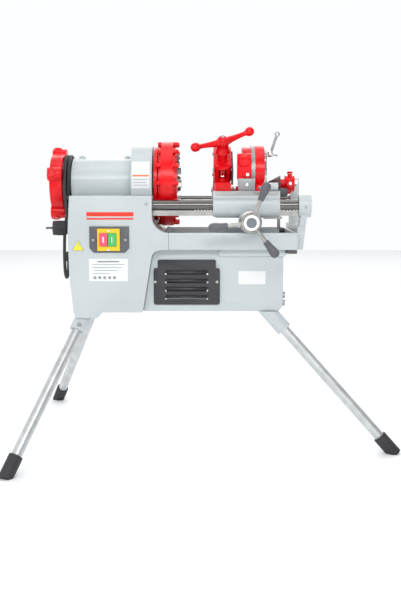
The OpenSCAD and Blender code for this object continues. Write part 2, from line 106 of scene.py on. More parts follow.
def surface(name, color, rough=0.45, metal=0.0, vary=0.06, patch=9.0, grain=500.0, bump=0.12,
            depth=0.0004, spread=0.08, stretch=(1, 1, 1), coat=0.0, stain=None, stained=0.0, shine=0.5):
    """A finish with patchy colour, uneven gloss and a fine grain; stain tints the patches."""
    material, tree, shader = new_nodes(name)
    dark = [c * (1 - vary) for c in color]
    light = [min(1, c * (1 + 0.6 * vary)) for c in color]
    colour = ramp(tree, noise_at(tree, patch, 4.0), dark, light)
    base = colour.outputs["Color"]
    if stain:
        mix = tree.nodes.new("ShaderNodeMix")
        mix.data_type = "RGBA"
        factor, first, second = (mix.inputs[i] for i in (0, 6, 7))     # the sockets for colours
        second.default_value = (*stain, 1)
        specks = noise_at(tree, patch * 5, 6.0)
        amount = ramp(tree, specks, (0, 0, 0), (stained, stained, stained), 0.56, 0.78)
        tree.links.new(amount.outputs["Color"], factor)
        tree.links.new(base, first)
        base = mix.outputs[2]
    tree.links.new(base, shader.inputs["Base Color"])
    fine = noise_at(tree, grain, 2.0, stretch)
    gloss = tree.nodes.new("ShaderNodeMapRange")
    gloss.inputs["To Min"].default_value = max(0.03, rough - spread)
    gloss.inputs["To Max"].default_value = min(1.0, rough + spread)
    tree.links.new(noise_at(tree, patch * 3, 3.0, stretch).outputs["Fac"], gloss.inputs["Value"])
    tree.links.new(gloss.outputs["Result"], shader.inputs["Roughness"])
    relief = tree.nodes.new("ShaderNodeBump")
    relief.inputs["Strength"].default_value = bump
    relief.inputs["Distance"].default_value = depth
    tree.links.new(fine.outputs["Fac"], relief.inputs["Height"])
    tree.links.new(relief.outputs["Normal"], shader.inputs["Normal"])
    shader.inputs["Metallic"].default_value = metal
    shader.inputs["Specular IOR Level"].default_value = shine
    shader.inputs["Coat Weight"].default_value = coat
    shader.inputs["Coat Roughness"].default_value = 0.12
    return material


FINISH = {
    "grey_paint": surface("grey_enamel", (0.525, 0.575, 0.59), 0.38, vary=0.05, patch=6, grain=320,
                          bump=0.22, depth=0.0006, coat=0.25, stain=(0.40, 0.42, 0.42), stained=0.10),
    "red_paint": surface("red_enamel", (0.80, 0.001, 0.006), 0.30, vary=0.16, patch=14, grain=260,
                         bump=0.22, depth=0.0006, coat=0.12, stain=(0.45, 0.0, 0.008), stained=0.5,
                         shine=0.3),
    "steel": surface("machined_steel", (0.42, 0.415, 0.40), 0.34, 1.0, vary=0.16, patch=16, grain=900,
                     bump=0.10, stain=(0.20, 0.18, 0.16), stained=0.35),
    "bright_steel": surface("plated_steel", (0.80, 0.79, 0.77), 0.14, 1.0, vary=0.08, patch=20,
                            grain=900, bump=0.05, spread=0.05),
    "grey_steel": surface("grey_steel", (0.36, 0.37, 0.38), 0.40, 0.55, vary=0.15, patch=14, grain=500,
                          bump=0.15),
    # steel of the rails, its colour darkened as a painted reflection of dark surroundings
    "ground_bar_painted_reflection": surface("ground_bar_painted_reflection", (0.15, 0.145, 0.14), 0.14, 1.0, vary=0.12, patch=10, grain=160,
                          bump=0.06, spread=0.07, stretch=(12, 1, 1)),
    "galvanised": surface("galvanised_tube", (0.60, 0.62, 0.63), 0.42, 0.85, vary=0.14, patch=45,
                          grain=140, bump=0.14, spread=0.10),
    "cast_dark": surface("dark_casting", (0.10, 0.10, 0.11), 0.50, 0.3, vary=0.2, patch=14, grain=300,
                         bump=0.30),
    "black_sheet": surface("black_powder_coat", (0.030, 0.030, 0.036), 0.42, vary=0.25, patch=12,
                           grain=900, bump=0.30, coat=0.15),
    "dark_plastic": surface("dark_plastic", (0.105, 0.108, 0.122), 0.42, vary=0.12, patch=15, grain=1100,
                            bump=0.25, depth=0.0003),
    "cap_grey": surface("moulded_grey_cap", (0.17, 0.19, 0.22), 0.34, vary=0.10, patch=18, grain=900,
                        bump=0.15, depth=0.0002, coat=0.2),
    "yellow_plastic": surface("yellow_plastic", (0.88, 0.60, 0.01), 0.33, vary=0.06, patch=18,
                              grain=900, bump=0.12, depth=0.0002),
    "red_plastic": surface("red_plastic", (0.85, 0.09, 0.16), 0.30, vary=0.05, patch=22, grain=900,
                           bump=0.10, depth=0.0002),
    "green_plastic": surface("green_plastic", (0.07, 0.50, 0.12), 0.30, vary=0.05, patch=22, grain=900,
                             bump=0.10, depth=0.0002),
    "rubber": surface("black_rubber", (0.030, 0.030, 0.033), 0.62, vary=0.20, patch=20, grain=700,
                      bump=0.30, depth=0.0004),
    "white_label": surface("white_label", (0.80, 0.82, 0.83), 0.38, vary=0.03, patch=14, grain=900,
                           bump=0.05, depth=0.0001),
    "grey_print": surface("grey_print", (0.30, 0.32, 0.35), 0.45, vary=0.05, patch=14, grain=900,
                          bump=0.05, depth=0.0001),
    "orange_print": surface("orange_print", (0.80, 0.20, 0.05), 0.45, vary=0.05, patch=14, grain=900,
                            bump=0.05, depth=0.0001),
    "red_print": surface("red_print", (0.78, 0.035, 0.012), 0.42, vary=0.05, patch=14, grain=900,
                         bump=0.05, depth=0.0001),
    "yellow_print": surface("yellow_print", (0.86, 0.78, 0.02), 0.38, vary=0.05, patch=14, grain=900,
                            bump=0.05, depth=0.0001),
}
# Material slot and body of each CAD node, from model.json.
NODE_SLOT = {s["node"]: s["material_slot"] for s in frame["record"]["subparts"]}
NODE_BODY = {n: b for b, ns in frame["record"]["behaviour"]["bodies"].items() for n in ns}


def paint(obj, finish):
    """Gives a piece one finish."""
    obj.data.materials.clear()
    obj.data.materials.append(FINISH[finish])


# ---------------------------------------------------------------- mesh tools
def add(name, bm, finish, body):
    """Turns a bmesh into a piece that rides on a body."""
    bmesh.ops.recalc_face_normals(bm, faces=bm.faces)
    mesh = bpy.data.meshes.new(name)
    bm.to_mesh(mesh)
    bm.free()
    obj = bpy.data.objects.new(name, mesh)
    bpy.context.scene.collection.objects.link(obj)
    mesh.shade_smooth()
    mesh.set_sharp_from_angle(angle=SHARP)
    paint(obj, finish)
    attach(obj, body)
    return obj


def applied(piece):
    """Makes the modifiers of a piece part of its mesh."""
    bpy.context.view_layer.update()
    shaped = piece.evaluated_get(bpy.context.evaluated_depsgraph_get())
    piece.data = bpy.data.meshes.new_from_object(shaped)
    piece.modifiers.clear()


def facing(axis, origin):
    """Matrix that takes +Z to axis and the origin to a point."""
    turn = Vector(UP).rotation_difference(Vector(axis).normalized()).to_matrix().to_4x4()
    return Matrix.Translation(Vector(origin)) @ turn


def about_spindle(degrees):
    """Matrix that turns about the spindle, with the spindle's own centre as origin."""
    return Matrix.Translation((0, 0, AXIS_Z)) @ Matrix.Rotation(math.radians(degrees), 4, "X")


def steps_round(count):
    """Angles of a whole turn, in radians."""
    return [2 * math.pi * i / count for i in range(count)]


def tube_faces(bm, rings, closed):
    """Walls between rings of equally many vertices."""
    pairs = list(zip(rings, rings[1:] + rings[:1] if closed else rings[1:]))
    for a, b in pairs:
        for k in range(len(a)):
            n = (k + 1) % len(a)
            bm.faces.new((a[k], b[k], b[n], a[n]))


def lathe(bm, profile, axis, origin, steps=40, ring=False):
    """Turns (radius, height) points in millimetres about an axis through origin, in metres.
    With ring the profile is a closed outline that leaves a hole in the middle."""
    place = facing(axis, origin)
    rings = []
    for r, h in profile:
        angles = steps_round(steps) if r > 0 else [0]
        rings.append([bm.verts.new(place @ Vector((r * MM * math.cos(a), r * MM * math.sin(a), h * MM)))
                      for a in angles])
    for low, high in zip(rings, rings[1:] + rings[:1] if ring else rings[1:]):
        for i in range(steps):
            j = (i + 1) % steps
            if len(low) == 1 and len(high) > 1:
                bm.faces.new((low[0], high[i], high[j]))
            elif len(high) == 1 and len(low) > 1:
                bm.faces.new((low[i], high[0], low[j]))
            elif len(low) > 1:
                bm.faces.new((low[i], high[i], high[j], low[j]))
    for end in () if ring else (rings[0], rings[-1]):
        if len(end) > 1:
            bm.faces.new(end)


def block(bm, low, high, bevel, place=None):
    """Box between two corners in millimetres, with rounded edges."""
    low, high = Vector(low) * MM, Vector(high) * MM
    made = bmesh.ops.create_cube(bm, size=1.0)
    for v in made["verts"]:
        v.co = Vector(((low[i] + high[i]) / 2 + v.co[i] * (high[i] - low[i]) for i in range(3)))
    edges = list({e for v in made["verts"] for e in v.link_edges})
    out = bmesh.ops.bevel(bm, geom=edges, offset=bevel * MM, segments=2, affect="EDGES", profile=0.6)
    if place is not None:
        for v in {v for f in out["faces"] for v in f.verts}:
            v.co = place @ v.co


def torus(bm, radius, thick, axis, origin, steps=40, sides=10, start=0.0, turn=360.0):
    """Ring or arc of round section; sizes in millimetres, origin in metres."""
    place = facing(axis, origin)
    whole = turn >= 359.9
    rings = []
    for i in range(steps if whole else steps + 1):
        a = math.radians(start + turn * i / steps)
        rings.append([bm.verts.new(place @ Vector((
            (radius + thick * math.cos(b)) * math.cos(a) * MM,
            (radius + thick * math.cos(b)) * math.sin(a) * MM,
            thick * math.sin(b) * MM))) for b in steps_round(sides)])
    tube_faces(bm, rings, whole)
    if not whole:
        bm.faces.new(rings[0])
        bm.faces.new(rings[-1])


def prism(bm, outline, y0, y1):
    """Outline in X and Z, in millimetres, drawn from y0 to y1."""
    front, back = ([bm.verts.new((x * MM, y * MM, z * MM)) for x, z in outline] for y in (y0, y1))
    bm.faces.new(front)
    bm.faces.new(back)
    tube_faces(bm, [front, back], False)


def round_box(x0, z0, x1, z1, r, steps=5):
    """Outline of a rectangle with round corners."""
    corners = ((x1 - r, z1 - r, 0), (x0 + r, z1 - r, 90), (x0 + r, z0 + r, 180), (x1 - r, z0 + r, 270))
    points = []
    for cx, cz, a0 in corners:
        for i in range(steps + 1):
            a = math.radians(a0 + 90 * i / steps)
            points.append((cx + r * math.cos(a), cz + r * math.sin(a)))
    return points


def softened(node, width):
    """Copy of a CAD node with its sharp edges rounded, as a casting or moulding has them."""
    bm = bmesh.new()
    bm.from_mesh(frame["nodes"][node].data)
    bmesh.ops.remove_doubles(bm, verts=bm.verts, dist=2e-6)
    bmesh.ops.dissolve_limit(bm, angle_limit=math.radians(0.6), verts=bm.verts, edges=bm.edges)
    piece = add(node + "_skin", bm, NODE_SLOT[node], NODE_BODY[node])
    bevel = piece.modifiers.new("edges", "BEVEL")
    bevel.width = width * MM
    bevel.segments = 3
    bevel.limit_method = "ANGLE"
    bevel.angle_limit = math.radians(38)
    bevel.harden_normals = False
    bevel.use_clamp_overlap = True
    applied(piece)
    piece.data.shade_smooth()
    piece.data.set_sharp_from_angle(angle=SHARP)
    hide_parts(node)


# ---------------------------------------------------------------- cord
CORD_D = 0.008
LEAD = [(-356, -70, 470), (-356, -70, 462), (-356, -74, 447), (-356, -86, 435),
        (-356, -102, 430), (-356, -118, 435), (-356, -130, 447), (-356, -134, 465),
        (-356.5, -133, 490), (-357, -127, 515), (-358, -114, 540), (-359, -95, 561),
        (-360, -71, 577), (-361, -45, 585), (-361.5, -18, 587)]
TO_PLUG = [(-361.5, -82, 652), (-360, -89, 637), (-357, -95, 621), (-354, -99, 605),
           (-353, -100, 590), (-353, -100, 580)]


def ease(t):
    """Goes smoothly from 0 to 1 while t does, and stays there."""
    t = max(0.0, min(1.0, t))
    return t * t * (3 - 2 * t)


def coil_point(angle):
    """Centre of the cord in the coil: two turns inside, then two over them.
    Each change of radius or side starts at one angle and takes some degrees, as in (angle - start) / length."""
    arriving, inner, outer, leaving = 80.5, 62.0, 71.2, 9.0
    left, right = -361.7, -352.9
    r = arriving + (inner - arriving) * ease((angle + 102) / 45)
    r += (outer - inner) * ease((angle - 660) / 60)
    r += leaving * ease((angle - 1215) / 60)
    x = left + (right - left) * (ease((angle - 300) / 60) - ease((angle - 1020) / 50))
    a = math.radians(angle)
    return (x, r * math.cos(a), AXIS_MM + r * math.sin(a))


def make_cord():
    """Power cord from the gland up to the neck, round it in a coil, and down to the plug."""
    coil_start, coil_end, coil_step = -90, 1246, 15
    turns = [coil_point(a) for a in range(coil_start, coil_end, coil_step)]
    route = LEAD + turns + TO_PLUG
    curve = bpy.data.curves.new("power_cord", "CURVE")
    curve.dimensions = "3D"
    curve.bevel_depth = CORD_D / 2
    curve.bevel_resolution = 3
    curve.use_fill_caps = True
    spline = curve.splines.new("NURBS")
    spline.points.add(len(route) - 1)
    for point, spot in zip(spline.points, route):
        point.co = (*(c * MM for c in spot), 1)
    spline.order_u = 4
    spline.use_endpoint_u = True
    spline.resolution_u = 3
    curve.materials.append(FINISH["rubber"])
    cord = bpy.data.objects.new("power_cord", curve)
    bpy.context.scene.collection.objects.link(cord)
    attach(cord, "frame")
    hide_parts("cord_coil", "cord_lead")


make_cord()


# ---------------------------------------------------------------- castings
def skin_castings():
    """Castings, covers and mouldings with soft edges; the numbers are the edges' widths in millimetres."""
    edges = {"cabinet": 5.0, "tray": 2.6, "end_support": 3.0, "motor_box": 4.0, "rear_cover": 0.7,
             "spindle_housing": 1.4, "gear_case": 3.5, "carriage": 1.6, "hammer_wheel": 2.0,
             "front_chuck_body": 1.2, "rear_chuck_body": 1.5, "rear_wheel": 3.0,
             "cutter_frame": 2.6, "die_head": 2.4, "reamer": 2.2, "louvre_cover": 0.7,
             "switch_plate": 0.35, "switch_face": 1.0, "on_button": 1.6, "off_button": 1.6,
             "die_cam": 0.8, "front_jaw_1": 1.0, "front_jaw_2": 1.0, "front_jaw_3": 1.0,
             "rear_jaw_1": 0.7, "rear_jaw_2": 0.7, "rear_jaw_3": 0.7, "cutter_slide": 0.6,
             "cord_gland": 0.8, "leg_sockets": 1.5}
    for node, width in edges.items():
        softened(node, width)


skin_castings()


def paint_nodes():
    """Machined nodes keep their shape and get a finish."""
    for node, obj in frame["nodes"].items():
        paint(obj, NODE_SLOT[node])
    # the rails get the darkened steel, a painted reflection of dark surroundings
    paint(frame["nodes"]["rails"], "ground_bar_painted_reflection")


paint_nodes()


# ---------------------------------------------------------------- star wheel
STAR = Vector((0.1022, -0.236, 0.5744))
SPOKES = (67.7, 187.7, 307.7)


def star_wheel():
    """Grips, hub, spokes and cap of the carriage's handwheel, and the collar it stands on."""
    ways = [Vector((math.cos(math.radians(a)), 0, math.sin(math.radians(a)))) for a in SPOKES]
    bm = bmesh.new()
    for out in ways:
        lathe(bm, [(0, 56), (6.2, 56), (7.4, 57), (7.8, 60), (8.0, 66), (9.0, 74), (10.6, 82), (11.4, 88),
                   (11.3, 93), (9.8, 97.6), (7.0, 100.6), (3.4, 101.9), (0, 102.1)], out, STAR, 36)
    grips = add("star_grip_mouldings", bm, "dark_plastic", "star_wheel")
    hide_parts("star_grips")
    bm = bmesh.new()
    lathe(bm, [(0, -14), (9.4, -14), (15.5, -11), (17.4, -8), (17.8, 11), (17.3, 13.2), (16.2, 13.8),
               (15.6, 12.4), (0, 12.4)], FORWARD, STAR, 56)
    for out in ways:
        lathe(bm, [(0, 10), (6.6, 10), (7.2, 20), (7.2, 23), (6.2, 24), (4.8, 24.6), (4.8, 62), (0, 62)],
              out, STAR, 28)
    add("star_hub_and_spokes", bm, "steel", "star_wheel")
    bm = bmesh.new()
    lathe(bm, [(0, 12.2), (15.2, 12.2), (15.1, 13.2), (13.6, 13.9), (7, 14.6), (0, 14.8)], FORWARD, STAR, 48)
    add("star_cap", bm, "cap_grey", "star_wheel")
    bm = bmesh.new()
    lathe(bm, [(9.7, -40.5), (26.0, -40.5), (27.2, -39.3), (27.4, -30), (26.2, -27.6), (23.6, -26.6),
               (22.8, -27.6), (9.7, -27.6)], FORWARD, STAR, 64, ring=True)
    add("apron_collar", bm, "steel", "carriage")


star_wheel()


# ---------------------------------------------------------------- cutter
LEAN_DEGREES = 35               # the cutter leans this far to the front
LEAN = math.radians(LEAN_DEGREES)
SCREW_AXIS = Vector((0, -math.sin(LEAN), math.cos(LEAN)))
ACROSS_SCREW = Vector((0, math.cos(LEAN), math.sin(LEAN)))
CUT_X = 38                      # middle of the cutter along the spindle, in millimetres


def leaned(x, u, v):
    """Point in the cutter's own frame: x along the spindle, u to the back, v up the feed screw; in mm."""
    return Vector((x * MM, (u * math.cos(LEAN) - v * math.sin(LEAN)) * MM,
                   AXIS_Z + (u * math.sin(LEAN) + v * math.cos(LEAN)) * MM))


def tee_handle():
    """Handle with two arms and balls, a skirt that slides over the collar, and the screw in it."""
    bm = bmesh.new()
    base = leaned(CUT_X, 0, 0)
    lathe(bm, [(13.8, 111), (13.8, 96.6), (14.4, 96.1), (18.0, 96.1), (18.9, 97.2), (18.6, 100), (16.6, 106),
               (15.2, 112), (14.9, 117), (15.8, 121), (16.4, 126), (15.6, 132), (12.8, 137.2), (8.6, 140.4),
               (4, 141.6), (0, 141.9)], SCREW_AXIS, base, 48)
    hub = leaned(CUT_X, 0, 125)
    rise = math.radians(7)
    for degrees in (28, 208):
        turn = math.radians(degrees)
        flat = Vector(RIGHT) * math.cos(turn) + ACROSS_SCREW * math.sin(turn)
        out = flat * math.cos(rise) + SCREW_AXIS * math.sin(rise)
        lathe(bm, [(0, 4), (11.5, 6), (10.2, 14), (8.4, 24), (7.0, 38), (6.1, 52), (5.9, 62), (6.6, 66.6),
                   (9.4, 70.0), (11.2, 74), (11.7, 78), (11.2, 82.4), (9.5, 86), (6.4, 88.7), (3, 89.8),
                   (0, 90)], out, hub, 36)
    handle = add("tee_handle", bm, "red_paint", "cutter_handle")
    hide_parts("cutter_handle")
    bm = bmesh.new()
    lathe(bm, [(0, 62.5), (7.9, 62.5), (7.9, 111.4), (0, 111.4)], SCREW_AXIS, base, 32)
    lathe(bm, [(0, 140.8), (5.2, 141.0), (5.2, 143.0), (4.4, 143.8), (0, 143.8)], SCREW_AXIS, base, 6)
    add("feed_screw_core", bm, "steel", "cutter_handle")


tee_handle()


def cutter_details():
    """Ribbed collar round the feed screw, slide guide, pins, screws and side plate of the cutter."""
    cheeks = ((15.4, LEFT), (60.6, RIGHT))
    pin_end = [(0, -2.0), (5.6, -2.0), (5.6, 0.6), (4.6, 1.4), (0, 1.4)]
    screw = [(0, -1.0), (4.4, -1.0), (4.4, 1.6), (3.6, 2.6), (1.8, 2.6), (1.8, 1.0), (0, 1.0)]
    bm = bmesh.new()
    lathe(bm, [(13.2, 78.2), (22.3, 78.2), (22.6, 79.2), (21.9, 80.5), (13.2, 80.7)],
          SCREW_AXIS, leaned(CUT_X, 0, 0), 56, ring=True)
    for radius, thick, v in ((21.2, 1.6, 79.0), (22.0, 1.5, 76.4)):
        torus(bm, radius, thick, SCREW_AXIS, leaned(CUT_X, -28, v), 48, start=180, turn=180)
    add("cutter_collar", bm, "red_paint", "cutter")
    bm = bmesh.new()
    for x, way in cheeks:
        for u in (-11, 13):
            lathe(bm, pin_end, way, leaned(x, u, -40), 24)
        for u, v in ((-38, 68), (36, 68), (42, 0)):
            lathe(bm, screw, way, leaned(x, u, v), 20)
    add("cutter_screws", bm, "steel", "cutter")
    bm = bmesh.new()
    lathe(bm, [(0, 42.6), (9.2, 42.6), (9.4, 43.2), (9.4, 52), (8.6, 52.8), (8.6, 54), (9.4, 54.8), (9.4, 72.6),
               (8.8, 73.4), (0, 73.4)], SCREW_AXIS, leaned(CUT_X, -34, 0), 40)
    add("cutter_guide", bm, "bright_steel", "cutter")
    bm = bmesh.new()
    block(bm, (60.6, -47, 28), (65, 40, 74), 1.2, about_spindle(LEAN_DEGREES))
    add("cutter_side_plate", bm, "cast_dark", "cutter")


cutter_details()


# ---------------------------------------------------------------- chucks
JAW_ANGLES = (30, 150, 270)


def hammer_wheel_details():
    """Bolt heads at both sides of the drum, and two raised rings round it."""
    bolts, bolt_circle = 14, 102
    head = [(0, 0), (6.1, 0), (6.1, 2.2), (5.0, 4.0), (3.2, 4.3), (3.2, 2.8), (0, 2.8)]
    tail = [(0, 0), (6.1, 0), (6.1, 0.4), (5.4, 0.8), (0, 0.8)]
    bm = bmesh.new()
    for i in range(bolts):
        a = 2 * math.pi * (i + 0.5) / bolts
        at = Vector((0, -bolt_circle * MM * math.sin(a), AXIS_Z + bolt_circle * MM * math.cos(a)))
        lathe(bm, head, RIGHT, at + Vector((-0.0772, 0, 0)), 24)
        lathe(bm, tail, LEFT, at + Vector((-0.1264, 0, 0)), 24)
    for x in (-0.1165, -0.0895):
        torus(bm, 107.6, 1.4, RIGHT, (x, 0, AXIS_Z), 120, 8)
    add("hammer_bolt_heads", bm, "red_paint", "hammer_wheel")


def jaw_keepers():
    """Dark plates with two screws each, over the jaws' slots in the chuck's face."""
    screw = [(0, 0), (3.6, 0), (3.6, 2), (2.8, 2.8), (1.6, 2.8), (1.6, 1.2), (0, 1.2)]
    bm = bmesh.new()
    for a in JAW_ANGLES:
        turn = about_spindle(a)
        block(bm, (-78, -20, 56), (-73.5, 20, 78), 1.2, turn)
        for y in (-14, 14):
            lathe(bm, screw, RIGHT, turn @ (Vector((-73.6, y, 67)) * MM), 20)
    add("jaw_keeper_plates", bm, "cast_dark", "spindle")


def jaw_teeth():
    """Bright teeth on the inner faces of the jaws."""
    tip = 33.6
    for end, x0, x1, half_width, teeth in (("front", -103, -69, 10, 9), ("rear", -396, -380, 6.2, 5)):
        for k, a in enumerate(JAW_ANGLES):
            bm = bmesh.new()
            for i in range(teeth):
                x = x0 + 1.5 + (x1 - x0 - 3) * i / (teeth - 1)
                block(bm, (x - 0.7, -half_width, tip - 1.1), (x + 0.7, half_width, tip + 1.5), 0.2,
                      about_spindle(a))
            add(f"{end}_jaw_teeth_{k + 1}", bm, "bright_steel", f"{end}_jaw_{k + 1}")


hammer_wheel_details()
jaw_keepers()
jaw_teeth()


def rear_wheel_details():
    """Rims and plugs of the four bosses round the rear wheel, and the rings on its face."""
    centre = (-0.392, 0, AXIS_Z)
    angles = [math.radians(90 * i - 18) for i in range(4)]
    ways = [Vector((0, -math.sin(a), math.cos(a))) for a in angles]
    bm = bmesh.new()
    for out in ways:
        lathe(bm, [(7.2, 88), (11.6, 88), (12.2, 90), (12.2, 93), (11.2, 94.6), (8.2, 94.6), (7.2, 93.6)],
              out, centre, 32)
    torus(bm, 71.5, 3.0, RIGHT, (-0.3985, 0, AXIS_Z), 96, 10)
    torus(bm, 54.5, 2.0, RIGHT, (-0.399, 0, AXIS_Z), 96, 10)
    add("rear_wheel_bosses", bm, "red_paint", "rear_wheel")
    bm = bmesh.new()
    for out in ways:
        lathe(bm, [(0, 78.4), (6.9, 78.4), (6.9, 93.4), (6.0, 94.0), (5.0, 91.5), (0, 90.6)], out, centre, 28)
    add("rear_wheel_plugs", bm, "cast_dark", "rear_wheel")


rear_wheel_details()


# ---------------------------------------------------------------- die head and reamer
DIE_Z = AXIS_Z + 0.028          # middle of the die head


def die_head_details():
    """Round lobe and boss in front, screws, grey ring and grey base plate of the die head."""
    bm = bmesh.new()
    lathe(bm, [(0, -6), (16.6, -6), (17.4, -4), (17.4, 1.4), (15.2, 3.8), (9, 5.2), (0, 5.7)], FORWARD,
          (0.0925, -0.0785, 0.7255), 44)
    lathe(bm, [(0, 0), (8.6, 0), (9.6, 1.4), (9.6, 6), (8, 8.4), (0, 8.8)], FORWARD,
          (0.100, -0.0785, 0.689), 32)
    add("die_head_lobes", bm, "red_paint", "die_head")
    bm = bmesh.new()
    lathe(bm, [(0, 0), (4.6, 0), (4.6, 3), (3.6, 4.2), (2, 4.2), (2, 2.4), (0, 2.4)], FORWARD,
          (0.100, -0.0868, 0.689), 24)
    base_screw = [(0, 0), (4.2, 0), (4.2, 2.4), (3.4, 3.4), (1.8, 3.4), (1.8, 1.8), (0, 1.8)]
    for at in ((0.0985, -0.0950, 0.664), (0.1305, -0.0948, 0.656)):
        lathe(bm, base_screw, FORWARD, at, 24)
    cover_screw = [(0, 0), (4.4, 0), (4.4, 2.2), (3.6, 3.2), (1.9, 3.2), (1.9, 1.6), (0, 1.6)]
    screw_circle = 61 * MM
    for degrees in (60, 90, 120, 150, 30):
        a = math.radians(degrees)
        at = Vector((0.1448, -screw_circle * math.cos(a), DIE_Z + screw_circle * math.sin(a)))
        lathe(bm, cover_screw, RIGHT, at, 24)
    add("die_head_screws", bm, "bright_steel", "die_head")
    bm = bmesh.new()
    lathe(bm, [(65.4, 0), (70.4, 0), (70.4, 9.6), (65.4, 9.6)], RIGHT, (0.1112, 0, DIE_Z), 64)
    add("die_head_grey_ring", bm, "grey_steel", "die_head")
    bm = bmesh.new()
    block(bm, (76.4, -96.4, 648.8), (119, -94.4, 678.6), 0.8)
    block(bm, (76.4, -95.6, 677.4), (119, -79.2, 679.2), 0.8)
    add("die_head_base_plate", bm, "grey_steel", "die_head")


die_head_details()


def throw_lever_details():
    """Ball and nut at the foot of the throw-out lever."""
    a = math.radians(28)
    at = Vector((0.160, -0.085 * math.sin(a), AXIS_Z + 0.085 * math.cos(a)))
    bm = bmesh.new()
    lathe(bm, [(0, -9), (4, -8.4), (7.6, -4.4), (8.4, 0), (7.6, 4.4), (5.2, 7.4), (4.6, 8), (4.6, 13), (6, 14),
               (6, 17.5), (5, 18.6), (0, 18.6)], RIGHT, at, 32)
    lathe(bm, [(0, -9.6), (9.6, -9.6), (9.6, -7.4), (0, -7.4)], RIGHT, at, 6)
    add("throw_lever_ball", bm, "bright_steel", "die_cam")


throw_lever_details()


def reamer_details():
    """Knob, bosses and screws of the reamer's arm, and cutting edges along its cone."""
    bm = bmesh.new()
    lathe(bm, [(0, 0), (7.0, 0), (7.6, 1), (7.6, 4.0), (6.2, 5.6), (0, 6)], UP, (0.214, -0.008, 0.6925), 28)
    lathe(bm, [(0, 0), (10, 0), (11.4, 1.6), (11.4, 5), (9, 7.4), (0, 8)], FORWARD,
          (0.2135, -0.018, AXIS_Z), 32)
    for x in (0.2025, 0.2245):
        torus(bm, 19.6, 1.6, RIGHT, (x, 0, AXIS_Z), 60, 8)
    add("reamer_bosses", bm, "red_paint", "reamer")
    bm = bmesh.new()
    lathe(bm, [(0, 0), (4.4, 0), (4.4, 3.6), (3.4, 4.6), (1.8, 4.6), (1.8, 2.6), (0, 2.6)], FORWARD,
          (0.2135, -0.0255, AXIS_Z), 24)
    lathe(bm, [(0, 0), (7.4, 0), (7.8, 1), (7.8, 8), (6.6, 9.4), (0, 9.4)], RIGHT, (0.2258, 0, AXIS_Z), 28)
    add("reamer_screws", bm, "bright_steel", "reamer")
    bm = bmesh.new()
    edges, tip, cone_length, cone_radius = 12, Vector((0.153, 0, AXIS_Z)), 36.0, 22.4
    slope = math.atan2(cone_radius, cone_length)
    for a in steps_round(edges):
        place = (Matrix.Translation(tip) @ Matrix.Rotation(a, 4, "X")
                 @ Matrix.Translation((0, 0, 0.0006)) @ Matrix.Rotation(-slope, 4, "Y"))
        block(bm, (3, -0.7, -0.6), (41.5, 0.7, 0.7), 0.25, place)
    add("reamer_cutting_edges", bm, "steel", "reamer")


reamer_details()


def small_castings():
    """Post in front of the reamer, stop behind it, and the block under the tray's right end."""
    bm = bmesh.new()
    lathe(bm, [(0, 147.0), (9.6, 147.0), (10.7, 148.0), (10.7, 174.0), (9.6, 175.2), (0, 175.2)], RIGHT,
          (0, -0.108, 0.6584), 40)
    add("front_post", bm, "grey_paint", "carriage")
    bm = bmesh.new()
    block(bm, (181, -36, 632), (205, -12, 655), 5.0)
    lathe(bm, [(0, 179.5), (9, 179.5), (10, 180.5), (10, 206), (9, 207), (0, 207)], RIGHT,
          (0, -0.024, 0.645), 32)
    add("reamer_stop", bm, "cast_dark", "reamer")
    bm = bmesh.new()
    block(bm, (194, -166, 495.5), (219, -120, 505.2), 1.6)
    lathe(bm, [(0, 0), (4.4, 0), (4.4, 2.6), (3.6, 3.4), (0, 3.4)], FORWARD, (0.207, -0.166, 0.5004), 20)
    add("tray_foot", bm, "cast_dark", "frame")


small_castings()


# ---------------------------------------------------------------- front panel
PANEL_Y = -172.0                # front face of the cabinet, in millimetres
PRINT = 0.5                     # how far printed parts stand out


